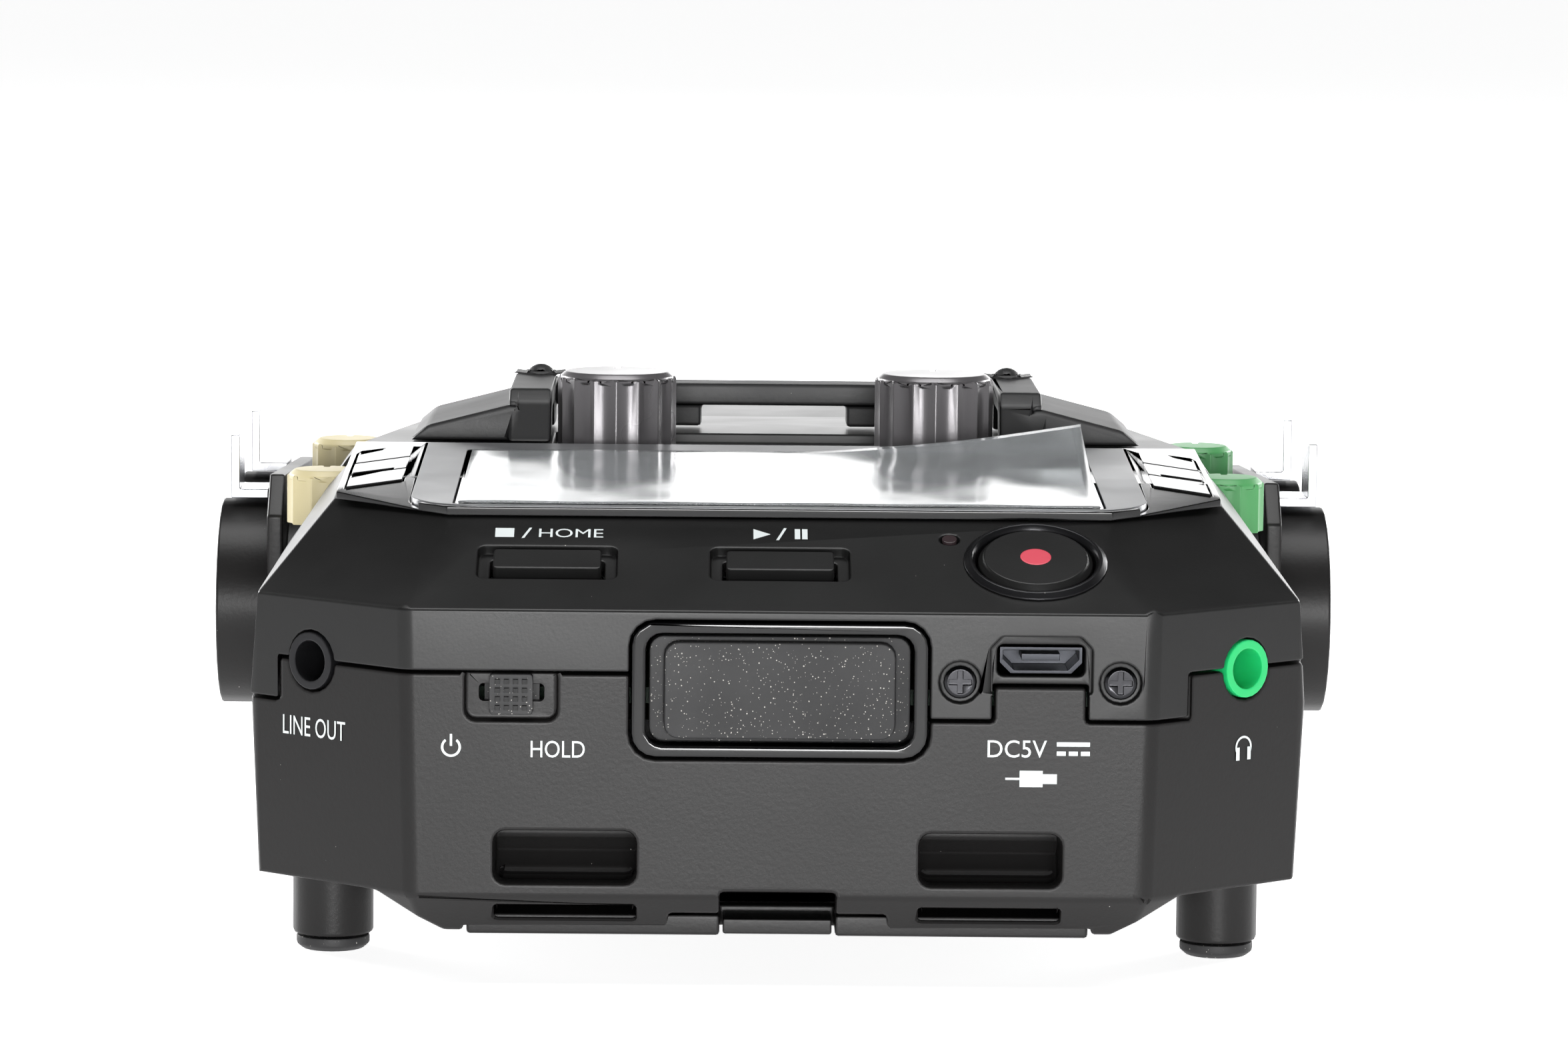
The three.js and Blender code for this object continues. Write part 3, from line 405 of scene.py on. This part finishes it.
def printed(name, face, drawing, body="chassis", look="ink", lift=INK):
    lay_on(drawing, face, lift)
    return finish_piece(drawing, name, body, look)


def ring_arc(x, y, radius, width, gap_from, gap_to):
    """A flat ring with an opening between two angles, counted anticlockwise from the right, in degrees."""
    bpy.ops.mesh.primitive_circle_add(vertices=48, radius=(radius + width / 2) * MM, fill_type="NOTHING")
    made = bpy.context.object
    bpy.ops.object.mode_set(mode="EDIT")
    bpy.ops.mesh.select_all(action="SELECT")
    bpy.ops.mesh.extrude_region_move()
    inner = (radius - width / 2) / (radius + width / 2)
    bpy.ops.transform.resize(value=(inner, inner, 1))
    bpy.ops.mesh.select_all(action="DESELECT")
    bpy.ops.object.mode_set(mode="OBJECT")
    for face in made.data.polygons:
        angle = math.degrees(math.atan2(face.center.y, face.center.x)) % 360
        face.select = gap_from < angle < gap_to
    bpy.ops.object.mode_set(mode="EDIT")
    bpy.ops.mesh.delete(type="FACE")
    bpy.ops.mesh.select_all(action="SELECT")
    bpy.ops.mesh.normals_make_consistent(inside=False)
    bpy.ops.object.mode_set(mode="OBJECT")
    if made.data.polygons and made.data.polygons[0].normal.z < 0:
        made.data.flip_normals()
    made.location = (x * MM, y * MM, 0)
    bpy.ops.object.transform_apply(location=True, rotation=True, scale=True)
    return made


def wedge(x0, x1, y0, y1):
    """A filled triangle that points to the right."""
    bpy.ops.mesh.primitive_circle_add(vertices=3, radius=1, fill_type="NGON", rotation=(0, 0, -math.pi / 2))
    made = bpy.context.object
    bpy.ops.object.transform_apply(location=True, rotation=True, scale=True)
    made.scale = ((x1 - x0) / 1.5 * MM, (y1 - y0) / math.sqrt(3) * MM, 1)
    made.location = ((x0 + (x1 - x0) / 3) * MM, (y0 + y1) / 2 * MM, 0)
    bpy.ops.object.transform_apply(location=True, rotation=True, scale=True)
    return made


def print_legends():
    home = lettering("HOME", -22.3, -16.35, 12.78, 14.3)
    stroke = lettering("/", -23.9, -22.95, 12.6, 14.45)
    printed("stop_legend", PANEL, joined(bar(-26.35, -24.6, 12.75, 14.35), stroke, home))
    play = joined(wedge(-2.45, -0.85, 12.7, 14.55), lettering("/", -0.35, 0.65, 12.6, 14.75),
                  bar(1.38, 1.88, 12.8, 14.6), bar(2.06, 2.56, 12.8, 14.6))
    printed("play_legend", PANEL, play)
    power = joined(ring_arc(-29.84, 22.2, 0.8, 0.22, 55, 125), bar(-29.95, -29.73, 22.3, 23.4))
    printed("power_legend", FRONT, power)
    printed("hold_legend", FRONT, lettering("HOLD", -22.6, -17.68, 21.3, 22.85))
    printed("supply_legend", FRONT, lettering("DC5V", 18.95, 24.35, 21.65, 23.25))
    dashes = [bar(x, x + 0.82, 21.85, 22.25) for x in (25.25, 26.35, 27.45)]
    printed("direct_current_legend", FRONT, joined(bar(25.25, 28.27, 22.7, 23.1), *dashes))
    plug = joined(bar(21.9, 24.0, 18.95, 20.45), bar(24.0, 25.3, 19.25, 20.15), bar(20.6, 21.9, 19.6, 19.8))
    printed("plug_legend", FRONT, plug)
    line_out = lettering("LINE OUT", -3.6, 4.3, 21.9, 23.7)
    printed("line_out_legend", LEFT_FACET, line_out, lift=FACET_INK)
    phones = joined(ring_arc(-0.16, 21.7, 0.95, 0.2, 200, 340), bar(-1.1, -0.66, 20.5, 21.7),
                    bar(0.34, 0.78, 20.5, 21.7))
    printed("headphone_legend", RIGHT_FACET, phones, lift=FACET_INK)


def print_rec_dot():
    """The red dot in the middle of the record key, a thin disc with a rounded rim."""
    bpy.ops.mesh.primitive_circle_add(vertices=40, radius=1.42 * MM, fill_type="NGON")
    dot = bpy.context.object
    bpy.ops.object.mode_set(mode="EDIT")
    bpy.ops.mesh.select_all(action="SELECT")
    bpy.ops.mesh.inset(thickness=0.12 * MM, depth=0.03 * MM)
    bpy.ops.object.mode_set(mode="OBJECT")
    dot.location = (23.5 * MM, 8.9 * MM, 0)
    select(dot)
    lay_on(dot, PANEL, lift=0.7)
    finish_piece(dot, "rec_dot", "rec_key", "red_ink")


def make_hold_pips():
    """Sixteen small pads on the hold switch, in four rows, in the darker polished black as painted shade so
    the grid reads as dark squares.
    """
    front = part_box("hold_switch")[0].y + 0.00001
    pads = []
    for column in range(4):
        for row in range(4):
            x, z = (column - 1.5) * 0.82, (row - 1.5) * 0.8
            pad = bar(x - 0.24, x + 0.24, z - 0.24, z + 0.24)
            pads.append(pad)
    grip = joined(*pads)
    bpy.ops.object.mode_set(mode="EDIT")
    bpy.ops.mesh.select_all(action="SELECT")
    bpy.ops.mesh.extrude_region_move(TRANSFORM_OT_translate={"value": (0, 0, 0.16 * MM)})
    bpy.ops.mesh.inset(thickness=0.06 * MM, depth=0.04 * MM, use_individual=True)
    bpy.ops.object.mode_set(mode="OBJECT")
    grip.matrix_world = face_frame(HOLD_X, front, HOLD_Z, math.radians(90))
    bpy.ops.object.transform_apply(location=True, rotation=True, scale=True)
    # The polished black here is painted shade: it darkens the pads so they read as the grip's dark squares.
    finish_piece(grip, "hold_grip", "hold_switch", "gloss")


def make_film():
    """The clear protective film on the screen, with its right rear corner lifting."""
    half, front, rear = 30.0, 1.9, 35.2
    bpy.ops.mesh.primitive_grid_add(x_subdivisions=60, y_subdivisions=34, size=1,
                                    location=(0, (front + rear) / 2 * MM, 0))
    film = bpy.context.object
    film.scale = (2 * half * MM, (rear - front) * MM, 1)
    bpy.ops.object.transform_apply(location=True, rotation=True, scale=True)
    for vertex in film.data.vertices:
        along = (vertex.co.x / MM - (half - 30)) / 30
        up_slope = (vertex.co.y / MM - (rear - 30)) / 30
        reach = max(0.0, along + up_slope - 1.0)
        vertex.co.z += 3.0 * MM * reach ** 1.7
        vertex.co.z += 0.03 * MM * math.sin(vertex.co.x * 420) * math.sin(vertex.co.y * 510)
    solid = film.modifiers.new("thickness", "SOLIDIFY")
    solid.thickness = 0.05 * MM
    solid.offset = 1
    select(film)
    bpy.ops.object.modifier_apply(modifier=solid.name)
    bpy.ops.object.shade_smooth()
    lay_on(film, DECK, lift=1.12)
    return film


# Stage ----------------------------------------------------------------------------------------------

def make_table_surface():
    """Translucent white acrylic lit from below, brightest under and behind the object."""
    made = bpy.data.materials.new("lit_acrylic")
    made.use_nodes = True
    made.node_tree.nodes.clear()
    place = node(made, "SeparateXYZ", {0: node(made, "TexCoord").outputs["Object"]})
    across = node(made, "Math", {0: place.outputs["X"]}, operation="ABSOLUTE")
    reach = node(made, "Math", {0: place.outputs["Y"], 1: 0.14, 2: 0.117}, operation="MULTIPLY_ADD")
    beside = node(made, "Math", {0: across.outputs[0], 1: reach.outputs[0]}, operation="SUBTRACT")
    before = node(made, "Math", {0: -0.13, 1: place.outputs["Y"]}, operation="SUBTRACT")
    outside = node(made, "Math", {0: beside.outputs[0], 1: before.outputs[0]}, operation="MAXIMUM")
    level = node(made, "MapRange", {
        "Value": outside.outputs[0], "From Max": 0.16, "To Min": GLOW_NEAR, "To Max": GLOW_FAR,
    }, interpolation_type="SMOOTHSTEP")
    surface = node(made, "BsdfPrincipled", {
        "Base Color": linear("#e9e9ea"), "Roughness": 0.6, "Emission Color": linear("#ffffff"),
        "Emission Strength": level.outputs["Result"],
    })
    out = node(made, "OutputMaterial")
    made.node_tree.links.new(surface.outputs["BSDF"], out.inputs["Surface"])
    return made


def make_stage():
    """A wide pale table that meets the pale horizon."""
    bpy.ops.mesh.primitive_circle_add(vertices=96, radius=8, fill_type="NGON")
    table = bpy.context.object
    bpy.ops.object.mode_set(mode="EDIT")
    bpy.ops.mesh.select_all(action="SELECT")
    bpy.ops.mesh.inset(thickness=7)
    bpy.ops.object.mode_set(mode="OBJECT")
    table.name = "table"
    table.data.materials.append(make_table_surface())


def area_light(name, place, target, width, depth, power):
    data = bpy.data.lights.new(name, "AREA")
    data.shape = "RECTANGLE"
    data.size, data.size_y, data.energy = width, depth, power
    light = bpy.data.objects.new(name, data)
    bpy.context.scene.collection.objects.link(light)
    aim = (Vector(target) - Vector(place)).to_track_quat("-Z", "Y")
    light.matrix_world = Matrix.Translation(place) @ aim.to_matrix().to_4x4()


def light_studio():
    """A white band round the horizon, a dim ceiling, a bright backdrop, and soft lights above and around."""
    world = bpy.data.worlds.new("studio")
    bpy.context.scene.world = world
    world.use_nodes = True
    tree = world.node_tree
    tree.nodes.clear()
    direction = tree.nodes.new("ShaderNodeTexCoord").outputs["Generated"]
    split = tree.nodes.new("ShaderNodeSeparateXYZ")
    tree.links.new(direction, split.inputs[0])
    ramp = tree.nodes.new("ShaderNodeValToRGB")
    tree.links.new(split.outputs["Z"], ramp.inputs[0])
    stops = ramp.color_ramp.elements
    stops[0].color = (1, 1, 1, 1)
    stops[1].color = (0.05, 0.05, 0.05, 1)
    for height, level in ((0.20, 0.9), (0.26, 0.06), (0.75, 0.02)):
        stops.new(height).color = (level, level, level, 1)
    background = tree.nodes.new("ShaderNodeBackground")
    tree.links.new(ramp.outputs["Color"], background.inputs["Color"])
    background.inputs["Strength"].default_value = 1.0
    out = tree.nodes.new("ShaderNodeOutputWorld")
    tree.links.new(background.outputs[0], out.inputs["Surface"])
    area_light("overhead", (0.0, -0.1, 1.1), (0, 0, 0), 0.8, 0.6, 9)
    area_light("backdrop", (0.0, 1.5, 0.27), (0, 0, 0.27), 3.0, 0.40, 9)
    for side, name in ((-1, "rear_left"), (1, "rear_right")):
        area_light(name, (side, 1.0, 0.45), (0, 0, 0.03), 0.5, 0.4, 14)
    area_light("front", (0.05, -1.5, 0.12), (0, 0, 0.02), 0.5, 0.3, 15)


# Build ----------------------------------------------------------------------------------------------

bpy.context.scene.view_settings.view_transform = "Standard"
add_camera()
materials = make_materials()

for name, cad in NODES.items():
    cad.data.materials.clear()
    cad.data.materials.append(materials[SLOT_OF[name]])

ROUNDING = {
    "lower_shell": 0.35, "upper_shell": 0.22, "screen_bezel": 0.12, "screen_frame": 0.12,
    "screen_glass": 0.06,
    "stop_key": 0.16, "play_key": 0.16, "rec_ring": 0.08, "rec_key": 0.1, "status_lamp": 0.06,
    "hold_switch": 0.12, "remote_frame": 0.3, "remote_cover": 0.22, "guard_bar": 0.4, "battery_door": 0.3,
    "door_latch": 0.2, "card_door": 0.2, "capsule_cover": 0.3, "xlr_frame_left": 0.3, "xlr_frame_right": 0.3,
    "line_out_jack": 0.18, "phone_jack": 0.18, "port_screw_1": 0.04, "port_screw_2": 0.04,
    "usb_receptacle": 0.05, "capsule_socket": 0.2, "tripod_nut": 0.15,
}
for letter in "abcd":
    ROUNDING["track_knob_" + letter] = 0.12
    ROUNDING["xlr_latch_" + letter] = 0.12
    ROUNDING["xlr_insert_" + letter] = 0.2
for index in (1, 2, 3, 4):
    ROUNDING[f"foot_{index}"] = 0.15
    ROUNDING[f"battery_{index}"] = 0.3
for index in (1, 2, 3):
    ROUNDING[f"track_key_left_{index}"] = 0.1
    ROUNDING[f"track_key_right_{index}"] = 0.1
for index in (1, 2):
    ROUNDING[f"input_knob_{index}"] = 0.15
for source, edge in ROUNDING.items():
    moulded(source, edge)

print_legends()
print_rec_dot()
make_hold_pips()
finish_piece(make_film(), "screen_film", "chassis", "film")
make_stage()
light_studio()
